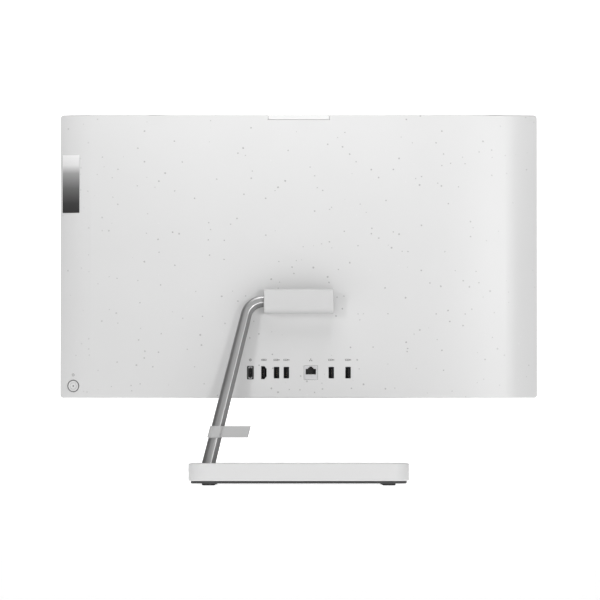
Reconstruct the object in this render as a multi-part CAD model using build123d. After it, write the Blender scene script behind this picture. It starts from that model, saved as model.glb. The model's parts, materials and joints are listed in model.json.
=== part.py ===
"""A desktop all-in-one computer: a slim display housing on a bent arm and a weighted base.

Units are millimetres. +Z is up, the screen faces -Y and the sockets face +Y. The origin lies on the
desk, under the middle of the base. The display housing tilts about a shaft at the top of the arm.
"""
from build123d import *
import math
import os

os.makedirs("parts", exist_ok=True)

# ---------------------------------------------------------------- driving dimensions
BASE_W, BASE_D = 246.5, 185.0          # plan size of the base
BASE_CORNER = 18.0
FOOT_H, SKIRT_H, BASE_H = 2.2, 3.0, 19.7
SKIRT_INSET, BASE_WALL = 2.6, 2.6

HOUSING_W, HOUSING_H = 540.0, 320.5    # display housing, seen square on
HOUSING_BOTTOM = 98.3
HOUSING_CORNER = 3.5
SCREEN_Y = -30.0                       # front plane of the housing
SEAM_Y = -22.0                         # where the front frame meets the rear cover
REAR_Y = 6.0                           # flat rear plane of the housing
CROWN_X, CROWN_R = 150.0, 900.0        # past this the rear cover is gently crowned
ROLL_X, ROLL_R = 235.0, 90.0           # past this it rolls forward to the side
WALL, EDGE_ROUND = 2.0, 1.4
VENT_X = range(-216, -59, 6)           # slots in the top and the bottom, beside the blower

PANEL_REAR = -28.6                     # rear of the chin and of the black mask
LCD_Y = (-28.5, -26.9)
TRAY_Y = (-26.8, -18.4)
CHIN_H = 13.0                          # strip under the screen
RIM = 2.2                              # visible edge of the front frame
ACTIVE_W, ACTIVE_H = 527.2, 296.6      # picture area, 23.8 inch diagonal

PIVOT_Y, PIVOT_Z = 20.0, 207.0         # tilt shaft
SHAFT_R = 4.0
RUNNING_GAP = 0.04
STUB_R = 5.8                           # round end of the arm that enters the hinge cover
HINGE_WINDOW = (66.0, 20.0)            # opening in the rear cover for the hinge's ears
HINGE_HALF_W = 39.1
HINGE_H, HINGE_D = 27.1, 27.0

ARM_X = 100.9                          # arm centre where it meets the base top
ARM_LEAN = 34.0                        # how far the arm's foot lies behind the pivot
ARM_BEND_R = 20.3
ARM_FOOT_W, ARM_TOP_W, ARM_DEPTH, ARM_FACET = 15.1, 12.4, 12.0, 3.8
ARM_ROUND = 4.0                        # radius of the bar's two outer corners

SOCKET_Z = 126.9                       # height of the row of sockets
USB_X = (25.1, 14.0, -36.7, -55.7)
USB_W, USB_H = 5.7, 12.6
HDMI_X, HDMI_W, HDMI_H = 39.4, 5.7, 14.3
INLET_X, INLET_W, INLET_H = 54.7, 7.3, 14.9
LAN_X, LAN_W, LAN_H = -13.6, 15.3, 15.6
SOCKET_FACE_Y = REAR_Y - 0.4           # the sockets stop just under the cover's face

BUTTON_X, BUTTON_Z, BUTTON_R = 255.2, 111.9, 6.1
CAMERA_TAB_W, CAMERA_TAB_H = 69.8, 5.9
SHUTTER_X, SHUTTER_TRAVEL = -9.6, 9.6
SHUTTER_Y = (-28.15, -27.65)
KNOB_X, KNOB_W = -17.2, 27.0           # finger grip of the camera shutter
BADGE_X, BADGE_Z, BADGE_W, BADGE_H = 258.0, 340.8, 19.2, 65.6
JACK_Y, JACK_Z = -15.4, 117.5

BOARD_Y, BOARD_T = -9.6, 1.6           # front face of the motherboard
CHASSIS_Y, CHASSIS_T = -16.5, 1.2

# ---------------------------------------------------------------- values worked out from them
HALF_W = HOUSING_W / 2
HOUSING_TOP = HOUSING_BOTTOM + HOUSING_H
HOUSING_MID_Z = HOUSING_BOTTOM + HOUSING_H / 2
SKIRT_TOP = FOOT_H + SKIRT_H
BASE_TOP = SKIRT_TOP + BASE_H
CROWN_TURN = math.asin((ROLL_X - CROWN_X) / CROWN_R)
ROLL_CENTRE = (ROLL_X - ROLL_R * math.sin(CROWN_TURN),
               REAR_Y - CROWN_R + (CROWN_R - ROLL_R) * math.cos(CROWN_TURN))
CHIN_TOP = HOUSING_BOTTOM + RIM + CHIN_H
ACTIVE_BOTTOM = CHIN_TOP + 1.0
ACTIVE_TOP = ACTIVE_BOTTOM + ACTIVE_H
RIM_TOP = HOUSING_TOP - RIM
BOARD_REAR = BOARD_Y + BOARD_T
CHASSIS_REAR = CHASSIS_Y + CHASSIS_T
INNER_REAR = REAR_Y - WALL


def block(x, y, z):
    """A box from three (low, high) pairs."""
    size = [high - low for low, high in (x, y, z)]
    middle = [(high + low) / 2 for low, high in (x, y, z)]
    return Pos(*middle) * Box(*size)


def rod(start, end, radius):
    """A cylinder between two points."""
    axis = Vector(*end) - Vector(*start)
    plane = Plane(origin=start, z_dir=axis)
    return extrude(plane * Circle(radius), amount=axis.length)


def slab_xz(width, height, corner, y, x=0.0, z=0.0):
    """A plate facing Y with rounded corners, from y[0] to y[1], centred on x and z."""
    plane = Plane(origin=(x, y[0], z), x_dir=(1, 0, 0), z_dir=(0, 1, 0))
    return extrude(plane * RectangleRounded(width, height, corner), amount=y[1] - y[0])


def slab_xy(width, depth, corner, z, x=0.0, y=0.0):
    """A level plate with rounded corners, from z[0] to z[1], centred on x and y."""
    return extrude(Pos(x, y, z[0]) * RectangleRounded(width, depth, corner), amount=z[1] - z[0])


def cross_recess(x, y, z, span, depth):
    """A cross-shaped driver recess, sunk upwards into a screw head that faces down."""
    cross = block((x - span / 2, x + span / 2), (y - 0.35, y + 0.35), (z - 1, z + depth))
    return cross + block((x - 0.35, x + 0.35), (y - span / 2, y + span / 2), (z - 1, z + depth))


def save(name, *shapes):
    """Write one node, whose shapes stay separate solids."""
    solids = [solid for shape in shapes for solid in shape.solids()]
    node = Compound(children=solids) if len(solids) > 1 else solids[0]
    export_step(node, f"parts/{name}.step")


# ---------------------------------------------------------------- rear cover and its roll
def rear_y(x, inset=0.0):
    """Y of the rear surface, sunk by inset, at a distance x from the middle."""
    x = abs(x)
    if x <= CROWN_X:
        return REAR_Y - inset
    if x <= CROWN_X + (CROWN_R - inset) * math.sin(CROWN_TURN):
        return REAR_Y - CROWN_R + math.sqrt((CROWN_R - inset) ** 2 - (x - CROWN_X) ** 2)
    return ROLL_CENTRE[1] + math.sqrt((ROLL_R - inset) ** 2 - (x - ROLL_CENTRE[0]) ** 2)


def roll_prism(inset, front_y, z):
    """The housing's plan outline, shrunk by inset, carried up from z[0] to z[1]."""
    half = HALF_W - inset
    meet = CROWN_X + (CROWN_R - inset) * math.sin(CROWN_TURN)
    stations = (CROWN_X, (CROWN_X + meet) / 2, meet, (meet + half) / 2, half)
    left, right = ([(side * x, rear_y(x, inset)) for x in stations] for side in (-1, 1))
    outline = [
        Line((-half, front_y), left[4]),
        ThreePointArc(left[4], left[3], left[2]),
        ThreePointArc(left[2], left[1], left[0]),
        Line(left[0], right[0]),
        ThreePointArc(right[0], right[1], right[2]),
        ThreePointArc(right[2], right[3], right[4]),
        Line(right[4], (half, front_y)),
        Line((half, front_y), (-half, front_y)),
    ]
    face = make_face(Curve() + outline)
    return extrude(Pos(0, 0, z[0]) * face, amount=z[1] - z[0])


def socket_shape(kind, grow, y):
    """The outline of one kind of socket, grown all round, from y[0] to y[1]."""
    if kind == "hdmi":
        half_w, half_h, cut = HDMI_W / 2 + grow, HDMI_H / 2 + grow, 2.6
        points = [(half_w, half_h), (half_w, -half_h), (-half_w + cut, -half_h),
                  (-half_w, -half_h + 1.2 * cut), (-half_w, half_h - 1.2 * cut), (-half_w + cut, half_h)]
        outline = [Line(a, b) for a, b in zip(points, points[1:] + points[:1])]
        plane = Plane(origin=(HDMI_X, y[0], SOCKET_Z), x_dir=(1, 0, 0), z_dir=(0, 1, 0))
        return extrude(plane * make_face(Curve() + outline), amount=y[1] - y[0])
    x, width, height, corner = {
        "inlet": (INLET_X, INLET_W, INLET_H, 1.2),
        "lan": (LAN_X, LAN_W, LAN_H, 0.6),
    }.get(kind, (kind, USB_W, USB_H, 0.7))
    return slab_xz(width + 2 * grow, height + 2 * grow, corner, y, x, SOCKET_Z)


def button_plane():
    """The plane on the rolled surface that the power button is pressed into."""
    slope = math.asin((BUTTON_X - ROLL_CENTRE[0]) / ROLL_R)
    normal = (math.sin(slope), math.cos(slope), 0)
    return Plane(origin=(BUTTON_X, rear_y(BUTTON_X), BUTTON_Z), x_dir=(0, 0, 1), z_dir=normal)


def button_disc(radius, low, high):
    """A disc on the button's axis; heights count outwards from the cover's surface."""
    plane = button_plane()
    return extrude(plane.offset(low) * Circle(radius), amount=high - low)


def badge_strip(low, high, margin):
    """A strip that follows the roll, between two depths under the surface, under the badge."""
    x = (BADGE_X - BADGE_W / 2 - margin, BADGE_X + BADGE_W / 2 + margin)
    z = (BADGE_Z - BADGE_H / 2 - margin, BADGE_Z + BADGE_H / 2 + margin)
    shell = roll_prism(low, SEAM_Y, z) - roll_prism(high, SEAM_Y - 1, z)
    return shell & block(x, (rear_y(HALF_W) - 6, REAR_Y + 1), z)


def rear_cover():
    """White moulded shell with its socket windows, vents, badge recess and camera notch."""
    outer_z = (HOUSING_BOTTOM, HOUSING_TOP)
    square_on = slab_xz(HOUSING_W, HOUSING_H, HOUSING_CORNER, (SEAM_Y, REAR_Y + 1), 0, HOUSING_MID_Z)
    body = roll_prism(0, SEAM_Y, outer_z) & square_on
    rim = body.edges().filter_by(lambda e: e.center().Y > SEAM_Y + 1 and e.length > 20)
    rim = [e for e in rim if abs(e.center().Z - HOUSING_MID_Z) > HOUSING_H / 2 - 1]
    body = fillet(rim, EDGE_ROUND)
    hollow_z = (HOUSING_BOTTOM + WALL, HOUSING_TOP - WALL)
    hollow = roll_prism(WALL, SEAM_Y - 1, hollow_z)
    hollow_on = slab_xz(HOUSING_W - 2 * WALL, HOUSING_H - 2 * WALL, HOUSING_CORNER - WALL,
                        (SEAM_Y - 1, REAR_Y), 0, HOUSING_MID_Z)
    body -= hollow & hollow_on
    through = (INNER_REAR - 1, REAR_Y + 1)
    for kind in ("inlet", "hdmi", "lan", *USB_X):
        body -= socket_shape(kind, 0.25, through)
    body -= slab_xz(*HINGE_WINDOW, 2, through, 0, PIVOT_Z)
    body -= button_disc(BUTTON_R + 0.9, -8, 3)
    body -= badge_strip(-1, 0.5, 0.1)
    notch_z = (HOUSING_TOP - CAMERA_TAB_H, HOUSING_TOP + 1)
    body -= block((-CAMERA_TAB_W / 2, CAMERA_TAB_W / 2), (SEAM_Y - 1, REAR_Y + 1), notch_z)
    slots = Sketch() + [Pos(x, y) * SlotOverall(9.0, 2.0, rotation=90)
                        for x in VENT_X for y in (-14.5, -3.5)]
    body -= extrude(Pos(0, 0, HOUSING_TOP - WALL - 1) * slots, amount=WALL + 2)
    intake = Sketch() + [Pos(x, -9) * SlotOverall(13.0, 2.0, rotation=90) for x in VENT_X]
    body -= extrude(Pos(0, 0, HOUSING_BOTTOM - 1) * intake, amount=WALL + 2)
    body -= rod((-HALF_W - 1, JACK_Y, JACK_Z), (-HALF_W + 3, JACK_Y, JACK_Z), 3.4)
    save("rear_cover", body)


def badge():
    """A blank metal name plate, let into the roll of the rear cover."""
    save("badge", badge_strip(-0.3, 0.5, 0.0))


def camera_rear_cover():
    """The small cover over the camera, in its notch at the top of the rear cover."""
    half, low = CAMERA_TAB_W / 2 - 0.2, HOUSING_TOP - CAMERA_TAB_H + 0.25
    tab = block((-half, half), (-20.6, REAR_Y), (low, HOUSING_TOP))
    tab = fillet(tab.edges().filter_by(Axis.X).sort_by(Axis.Y)[-2:], 0.9)
    lower = [e for e in tab.edges().filter_by(Axis.Y) if e.center().Z < low + 0.1]
    save("camera_rear_cover", fillet(lower, 1.0))


# ---------------------------------------------------------------- front of the housing
def front_frame():
    """The white rim round the screen, with the slot that the camera shutter slides in."""
    y = (SCREEN_Y, SEAM_Y - 0.25)
    frame = slab_xz(HOUSING_W, HOUSING_H, HOUSING_CORNER, y, 0, HOUSING_MID_Z)
    edge = [e for e in frame.edges() if abs(e.center().Y - SCREEN_Y) < 0.01]
    frame = fillet(edge, 1.2)
    inside = (HOUSING_W - 2 * RIM, HOUSING_H - 2 * RIM, HOUSING_CORNER - RIM)
    frame -= slab_xz(*inside, (SCREEN_Y - 1, SEAM_Y + 1), 0, HOUSING_MID_Z)
    slot_x = (SHUTTER_X - 3.4, SHUTTER_X + SHUTTER_TRAVEL + 3.4)
    slot_y = (SHUTTER_Y[0] - 0.25, SHUTTER_Y[1] + 0.25)
    frame -= block(slot_x, slot_y, (RIM_TOP - 1, HOUSING_TOP + 1))
    save("front_frame", frame)


def frame_opening(y):
    """What fits inside the front frame, between two depths."""
    gap = 2 * RIM + 0.3
    return slab_xz(HOUSING_W - gap, HOUSING_H - gap, HOUSING_CORNER - RIM, y, 0, HOUSING_MID_Z)


def chin_panel():
    """The white strip under the screen."""
    half = HALF_W - RIM - 0.15
    strip = block((-half, half), (SCREEN_Y, PANEL_REAR), (HOUSING_BOTTOM + RIM + 0.15, CHIN_TOP - 0.1))
    strip &= frame_opening((SCREEN_Y, PANEL_REAR))
    grille = Sketch() + [Pos(side * x, -29.3) * SlotOverall(0.8, 0.45, rotation=90)
                         for side in (-1, 1) for x in range(150, 229, 3)]
    strip -= extrude(Pos(0, 0, CHIN_TOP - 2) * grille, amount=3)
    save("chin_panel", strip)


def screen_bezel():
    """The black mask round the picture, with the camera's window."""
    top_z, bottom_z = RIM_TOP - 0.15, CHIN_TOP
    half = HALF_W - RIM - 0.15
    mask = block((-half, half), (SCREEN_Y + 0.3, PANEL_REAR), (bottom_z, top_z))
    mask -= block((-ACTIVE_W / 2, ACTIVE_W / 2), (SCREEN_Y - 1, -28), (ACTIVE_BOTTOM, ACTIVE_TOP))
    mask &= frame_opening((SCREEN_Y, PANEL_REAR))
    mask -= rod((0, SCREEN_Y - 1, lens_z()), (0, -28, lens_z()), 1.7)
    save("screen_bezel", mask)


def lens_z():
    """Height of the camera lens, in the band above the picture."""
    return (ACTIVE_TOP + RIM_TOP) / 2


def screen_and_backlight():
    """The liquid crystal cell and the backlight tray behind it."""
    z = (ACTIVE_BOTTOM - 0.9, ACTIVE_TOP + 0.9)
    half = ACTIVE_W / 2 + 2.2
    save("lcd_screen", block((-half, half), LCD_Y, z))
    tray = slab_xz(2 * half - 1, z[1] - z[0] - 1, 1.5, TRAY_Y, 0, sum(z) / 2)
    for x in (-150, 0, 150):
        pressing = block((x - 40, x + 40), (TRAY_Y[1] - 0.4, TRAY_Y[1] + 1), (180, 340))
        tray -= pressing
    save("backlight_tray", tray)
    bars = [block((side * 266.6 - 0.9, side * 266.6 + 0.9), (TRAY_Y[0] + 0.1, CHASSIS_REAR), (140, 390))
            for side in (-1, 1)]
    save("lcd_side_brackets", *bars)


def camera():
    """Camera board with its lens, and the privacy shutter that slides in front of it."""
    z, board_y = lens_z(), (-24.6, -23.6)
    board = block((-30, 30), board_y, (z - 1.2, z + 1.7))
    barrel = rod((0, -26.9, z), (0, board_y[0], z), 1.4)
    microphones = [block((x - 1.5, x + 1.5), (-25.6, board_y[0]), (z - 1, z + 1)) for x in (-22, 22)]
    save("camera_module", board + barrel, *microphones)
    blade_z = (z - 1.3, HOUSING_TOP + 0.6)
    blade = block((SHUTTER_X - 2.9, SHUTTER_X + 2.9), SHUTTER_Y, blade_z)
    ends, crown = (KNOB_X - KNOB_W / 2, KNOB_X + KNOB_W / 2), HOUSING_TOP + 1.5
    knob = block(ends, (-29.2, -26.4), (HOUSING_TOP + 0.15, crown))
    knob = fillet([e for e in knob.edges() if e.center().Z > HOUSING_TOP + 0.5], 0.4)
    for n in range(-3, 4):
        groove = (KNOB_X + 1.6 * n - 0.25, KNOB_X + 1.6 * n + 0.25)
        knob -= block(groove, (-30, -26), (crown - 0.25, crown + 1))
    save("camera_shutter", blade + knob)


# ---------------------------------------------------------------- sockets
def usb_sockets():
    """Four USB-A receptacles: folded shell, and the contact tongue as its own solid."""
    y = (BOARD_REAR, SOCKET_FACE_Y)
    for number, x in enumerate(USB_X, start=1):
        shell = socket_shape(x, 0.0, y)
        shell -= slab_xz(USB_W - 0.8, USB_H - 0.8, 0.4, (y[0] + 1.5, y[1] + 1), x, SOCKET_Z)
        tongue = block((x - 1.9, x - 0.3), (y[0] + 1.5, y[1] - 1.4), (SOCKET_Z - 5.2, SOCKET_Z + 5.2))
        save(f"usb_port_{number}", shell, tongue)


def hdmi_socket():
    """HDMI receptacle with its tongue."""
    y = (BOARD_REAR, SOCKET_FACE_Y)
    shell = socket_shape("hdmi", 0.0, y) - socket_shape("hdmi", -0.45, (y[0] + 1.5, y[1] + 1))
    tongue = block((HDMI_X - 0.6, HDMI_X + 0.8), (y[0] + 1.5, y[1] - 1.6), (SOCKET_Z - 4.6, SOCKET_Z + 4.6))
    save("hdmi_port", shell, tongue)


def power_inlet():
    """Low-voltage inlet for the adapter's flat plug, with its centre contact."""
    y = (BOARD_REAR, SOCKET_FACE_Y)
    shell = socket_shape("inlet", 0.0, y)
    shell -= slab_xz(INLET_W - 2.6, INLET_H - 4.4, 0.6, (y[0] + 2, y[1] + 1), INLET_X, SOCKET_Z)
    for side in (-1, 1):
        z = SOCKET_Z + side * (INLET_H / 2 - 1.35)
        shell -= slab_xz(INLET_W - 3.4, 0.9, 0.3, (y[1] - 0.8, y[1] + 1), INLET_X, z)
    contact = rod((INLET_X, y[0] + 2, SOCKET_Z), (INLET_X, y[1] - 2.5, SOCKET_Z), 0.6)
    save("power_inlet", shell, contact)


def ethernet_port():
    """RJ45 jack: metal shield with the plug's opening in its upper part, and eight contacts."""
    y = (BOARD_REAR, SOCKET_FACE_Y)
    shield = socket_shape("lan", 0.0, y)
    mouth_top = SOCKET_Z + LAN_H / 2 - 0.9
    plug = block((LAN_X - 5.85, LAN_X + 5.85), (y[0] + 1.6, y[1] + 1), (mouth_top - 9.0, mouth_top - 2.6))
    latch = block((LAN_X - 3.1, LAN_X + 3.1), (y[0] + 1.6, y[1] + 1), (mouth_top - 2.7, mouth_top - 1.2))
    tip = block((LAN_X - 1.7, LAN_X + 1.7), (y[0] + 1.6, y[1] + 1), (mouth_top - 1.3, mouth_top))
    shield -= plug + latch + tip
    low = SOCKET_Z - LAN_H / 2
    for step in (2.1, 4.2):
        shield -= block((LAN_X - 6.4, LAN_X + 6.4), (y[1] - 0.35, y[1] + 1), (low + step, low + step + 0.4))
    pins = [block((LAN_X + 1.02 * n - 0.2, LAN_X + 1.02 * n + 0.2), (y[0] + 1.7, y[1] - 3.5),
                  (mouth_top - 8.95, mouth_top - 8.5)) for n in (-3.5, -2.5, -1.5, -0.5, 0.5, 1.5, 2.5, 3.5)]
    save("ethernet_port", shield, *pins)


def audio_jack():
    """Headphone jack that opens in the side of the housing."""
    y, z, x = JACK_Y, JACK_Z, -HALF_W + WALL
    body = block((x + 0.2, x + 12), (y - 2.9, y + 2.9), (z - 3.2, z + 3.2))
    nose = rod((x - WALL + 0.3, y, z), (x + 0.3, y, z), 2.8)
    bore = rod((x - WALL - 1, y, z), (x + 11, y, z), 1.8)
    save("audio_jack", body + nose - bore)


# ---------------------------------------------------------------- power button
def power_button():
    """Button cap, the ring round it, its light and the switch board behind."""
    cap = button_disc(BUTTON_R, -1.8, 0.1)
    circles = cap.edges().filter_by(GeomType.CIRCLE)
    cap = fillet(circles.sort_by(Axis.Y)[-1:], 0.25)
    stem = button_disc(1.6, -5.2, -1.8)
    light = button_disc(0.75, -1.2, 0.18)
    save("power_button", cap + stem - light)
    save("power_light", light)
    ring = button_disc(BUTTON_R + 0.8, -2.4, 0.2) - button_disc(BUTTON_R + 0.15, -3, 1)
    save("power_button_ring", ring)
    plane = button_plane()
    board = extrude(plane.offset(-9.4) * Rectangle(20, 12), amount=1.2)
    switch = extrude(plane.offset(-8.2) * Rectangle(6, 6), amount=2.0)
    save("button_board", board + switch)


# ---------------------------------------------------------------- inside the housing
def chassis():
    """Pressed steel plate that carries the electronics and the hinge."""
    plate = slab_xz(510, 292, 4, (CHASSIS_Y, CHASSIS_REAR), 0, HOUSING_MID_Z - 1)
    for x in (120, 185):
        plate -= slab_xz(46, 60, 6, (CHASSIS_Y - 1, CHASSIS_REAR + 1), x, 160)
    plate -= slab_xz(90, 26, 6, (CHASSIS_Y - 1, CHASSIS_REAR + 1), 0, 380)
    lips = [block((-240, 240), (CHASSIS_REAR, CHASSIS_REAR + 5), (z - 0.6, z + 0.6)) for z in (392.0, 116.5)]
    lips[1] -= block((-230, -60), (CHASSIS_REAR - 1, CHASSIS_REAR + 6), (115, 118))
    save("chassis_plate", plate + lips[0] + lips[1])


def board_outline():
    """Plan of the motherboard: a strip behind the sockets and a wide lobe beside the hinge."""
    strip = block((-222, 78), (BOARD_Y, BOARD_REAR), (118.5, 172))
    lobe = block((-222, -66), (BOARD_Y, BOARD_REAR), (118.5, 282))
    return strip + lobe


SCREW_SPOTS = ((-216, 124), (-216, 276), (-72, 276), (-72, 178), (72, 166), (-140, 124))


def motherboard():
    """Circuit board with its chokes, controller chips and card slots, and the screws that hold it."""
    board = board_outline()
    for x, z in SCREW_SPOTS:
        board -= rod((x, BOARD_Y - 1, z), (x, BOARD_REAR + 1, z), 1.8)
    parts = [block((x - 3.5, x + 3.5), (BOARD_REAR, BOARD_REAR + 4), (z - 3.5, z + 3.5))
             for x in (-200, -191, -182) for z in (240, 249)]
    parts += [block((-30, -12), (BOARD_REAR, BOARD_REAR + 1.4), (148, 166)),
              block((20, 34), (BOARD_REAR, BOARD_REAR + 1.2), (146, 160)),
              block((48, 62), (BOARD_REAR, BOARD_REAR + 5.5), (150, 156))]
    for part in parts:
        board += part
    save("motherboard", board)
    screws = []
    for x, z in SCREW_SPOTS:
        shank = rod((x, CHASSIS_REAR + 0.1, z), (x, BOARD_REAR + 0.1, z), 1.5)
        screws.append(shank + rod((x, BOARD_REAR, z), (x, BOARD_REAR + 1.6, z), 2.9))
    save("board_screws", *screws)
    posts = [rod((x, CHASSIS_REAR, z), (x, BOARD_Y, z), 3.0) - rod((x, -17, z), (x, -9, z), 1.6)
             for x, z in SCREW_SPOTS]
    save("board_standoffs", *posts)


CPU_X, CPU_Z = -140.0, 242.0
FAN_X, FAN_Z, FAN_R, BLADES = -128.0, 342.0, 32.0, 23
PIPE_X, FIN_MID_Z = -78.0, 389.0


def cooling():
    """Processor, the plate pressed on it, the heat pipe, the fins and the blower."""
    die_y = BOARD_REAR + 2.2
    chip = block((CPU_X - 22, CPU_X + 22), (BOARD_REAR, BOARD_REAR + 1.2), (CPU_Z - 12.5, CPU_Z + 12.5))
    die = block((CPU_X - 8, CPU_X + 8), (BOARD_REAR + 1.2, die_y), (CPU_Z - 5, CPU_Z + 5))
    save("processor", chip + die)
    ears = [(dx, dz) for dx in (-30, 30) for dz in (-26, 26)]
    flat = Sketch() + [Rectangle(40, 36)]
    for ear in ears:
        angle = math.degrees(math.atan2(ear[1], ear[0]))
        finger = SlotCenterToCenter(math.hypot(*ear), 3.0, rotation=angle)
        flat += finger.moved(Pos(ear[0] / 2, ear[1] / 2))
        flat += Pos(*ear) * Circle(3.4)
    plane = Plane(origin=(CPU_X, die_y, CPU_Z), x_dir=(1, 0, 0), z_dir=(0, 1, 0))
    save("cooling_plate", extrude(plane * flat, amount=1.5))
    pipe_y = die_y + 1.5 + 1.6
    path = FilletPolyline((CPU_X - 16, pipe_y, CPU_Z), (PIPE_X, pipe_y, CPU_Z),
                          (PIPE_X, pipe_y, FIN_MID_Z), (-164, pipe_y, FIN_MID_Z), radius=14)
    start = Plane(origin=path @ 0, x_dir=(0, 0, 1), z_dir=path % 0)
    save("heat_pipe", sweep(start * SlotOverall(7.0, 3.0), path))
    stack = block((-167, -57), (-9, -8), (FIN_MID_Z - 7, FIN_MID_Z + 7))
    for x in range(-166, -58, 4):
        stack += block((x, x + 0.6), (-8, 2.6), (FIN_MID_Z - 7, FIN_MID_Z + 7))
    groove_y, pipe_edge = (pipe_y - 1.55, pipe_y + 1.55), PIPE_X + 3.7
    tunnel = block((-170, pipe_edge), groove_y, (FIN_MID_Z - 3.6, FIN_MID_Z + 3.6))
    elbow = block((PIPE_X - 18, pipe_edge), groove_y, (FIN_MID_Z - 8, FIN_MID_Z + 3.6))
    save("fin_stack", stack - tunnel - elbow)


def blower():
    """Radial blower: housing open to the fins, and the impeller on its motor."""
    y = (CHASSIS_REAR + 0.3, 1.6)
    around = Pos(FAN_X, 0, FAN_Z)
    outline = slab_xz(78, 76, 30, y, FAN_X, FAN_Z) + block((FAN_X - 39, FAN_X + 39), y, (FAN_Z, 381))
    room = slab_xz(75, 73, 29, (y[0] + 1, y[1] - 1), FAN_X, FAN_Z)
    room += block((FAN_X - 37, FAN_X + 37), (y[0] + 1, y[1] - 1), (FAN_Z, 383))
    inlet = rod((FAN_X, y[1] - 2, FAN_Z), (FAN_X, y[1] + 1, FAN_Z), 24)
    boss = rod((FAN_X, y[0] + 0.8, FAN_Z), (FAN_X, y[0] + 3.0, FAN_Z), 9)
    pin = rod((FAN_X, y[0] + 2.9, FAN_Z), (FAN_X, y[1] - 3, FAN_Z), 1.5)
    save("blower_housing", outline - room - inlet + boss + pin)
    hub_y = (y[0] + 3.4, y[1] - 1.8)
    hub = rod((FAN_X, hub_y[0], FAN_Z), (FAN_X, hub_y[1], FAN_Z), 12)
    disc = rod((FAN_X, hub_y[0], FAN_Z), (FAN_X, hub_y[0] + 0.8, FAN_Z), FAN_R)
    wheel = hub + disc
    blade = block((11, FAN_R), hub_y, (-0.5, 0.5))
    for n in range(BLADES):
        wheel += around * Rot(0, 360 / BLADES * n, 0) * blade
    wheel -= rod((FAN_X, y[0], FAN_Z), (FAN_X, y[1] - 2.9, FAN_Z), 1.5 + RUNNING_GAP)
    save("blower_impeller", wheel)


def storage_and_memory():
    """Memory modules, their slots, solid-state drive, radio card, clock cell and hard drive."""
    modules = []
    for z in (180.0, 146.0):
        y = BOARD_REAR + 3.0
        module = block((-212, -142.4), (y, y + 1.0), (z, z + 30))
        for x in (-208, -194, -180, -166):
            module += block((x, x + 10), (y + 1.0, y + 2.2), (z + 12, z + 24))
        modules.append(module)
    save("memory_modules", *modules)
    sockets = [block((-214, -140.4), (BOARD_REAR, BOARD_REAR + 2.9), (z - 3, z + 3)) for z in (180.0, 146.0)]
    save("memory_sockets", *sockets)
    drive = block((-128, -48), (BOARD_REAR + 2.0, BOARD_REAR + 2.8), (140, 162))
    for x in (-118, -100, -82):
        drive += block((x, x + 13), (BOARD_REAR + 2.8, BOARD_REAR + 4.0), (144, 158))
    save("solid_state_drive", drive)
    card = block((-128, -98), (BOARD_REAR + 2.0, BOARD_REAR + 2.8), (176, 198))
    card += block((-122, -104), (BOARD_REAR + 2.8, BOARD_REAR + 4.4), (179, 195))
    save("wireless_card", card)
    save("clock_cell", rod((-88, BOARD_REAR + 0.4, 206), (-88, BOARD_REAR + 3.6, 206), 10))
    low_y = CHASSIS_REAR + 1.6
    save("hard_drive", block((105, 205), (low_y, low_y + 7), (232, 302)))
    caddy = block((101, 209), (CHASSIS_REAR, CHASSIS_REAR + 1.5), (228, 306))
    for x in (101, 207.8):
        caddy += block((x, x + 1.2), (CHASSIS_REAR, CHASSIS_REAR + 7), (228, 306))
    save("drive_caddy", caddy)


def speakers():
    """Two sealed speaker boxes at the bottom corners."""
    for name, side in (("speaker_left", -1), ("speaker_right", 1)):
        x = sorted((side * 165, side * 226))
        box = block(x, (-13.5, -0.6), (102.0, 114.0))
        cone = rod((side * 196, -9, 101.2), (side * 196, -9, 102.0), 4.2)
        save(name, box + cone)


def display_cable():
    """Flat cable from the motherboard to the panel's drive board, through the chassis cut-out."""
    cable = block((-20, 20), (CHASSIS_REAR + 0.4, CHASSIS_REAR + 0.8), (240, 372))
    cable += block((-20, 20), (-18.2, CHASSIS_REAR + 0.8), (371.6, 372))
    save("display_cable", cable)
    drive_board = block((-80, 80), (-18.2, -17.2), (374, 388))
    save("panel_drive_board", drive_board)


# ---------------------------------------------------------------- hinge
EARS = ((-30.0, -25.0), (12.0, 17.0))
BRACKET_Z = (178.0, 236.0)


def hinge_bracket():
    """Steel bracket on the chassis; its two ears reach through the rear cover to the shaft."""
    bracket = block((-52, 52), (CHASSIS_REAR, CHASSIS_REAR + 2.5), BRACKET_Z)
    for x in EARS:
        bracket += block(x, (CHASSIS_REAR + 2.4, PIVOT_Y), (PIVOT_Z - 7.5, PIVOT_Z + 7.5))
        bracket += rod((x[0], PIVOT_Y, PIVOT_Z), (x[1], PIVOT_Y, PIVOT_Z), 7.5)
    bracket -= rod((-40, PIVOT_Y, PIVOT_Z), (30, PIVOT_Y, PIVOT_Z), SHAFT_R + RUNNING_GAP)
    spots = [(x, z) for x in (-44, 44) for z in (BRACKET_Z[0] + 7, BRACKET_Z[1] - 7)]
    screws = []
    for x, z in spots:
        bracket -= rod((x, CHASSIS_REAR - 1, z), (x, CHASSIS_REAR + 4, z), 2.2)
        shank = rod((x, CHASSIS_REAR + 0.05, z), (x, CHASSIS_REAR + 2.6, z), 2.0)
        screws.append(shank + rod((x, CHASSIS_REAR + 2.55, z), (x, CHASSIS_REAR + 4.7, z), 3.8))
    save("hinge_bracket", bracket)
    save("hinge_bracket_screws", *screws)


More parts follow.
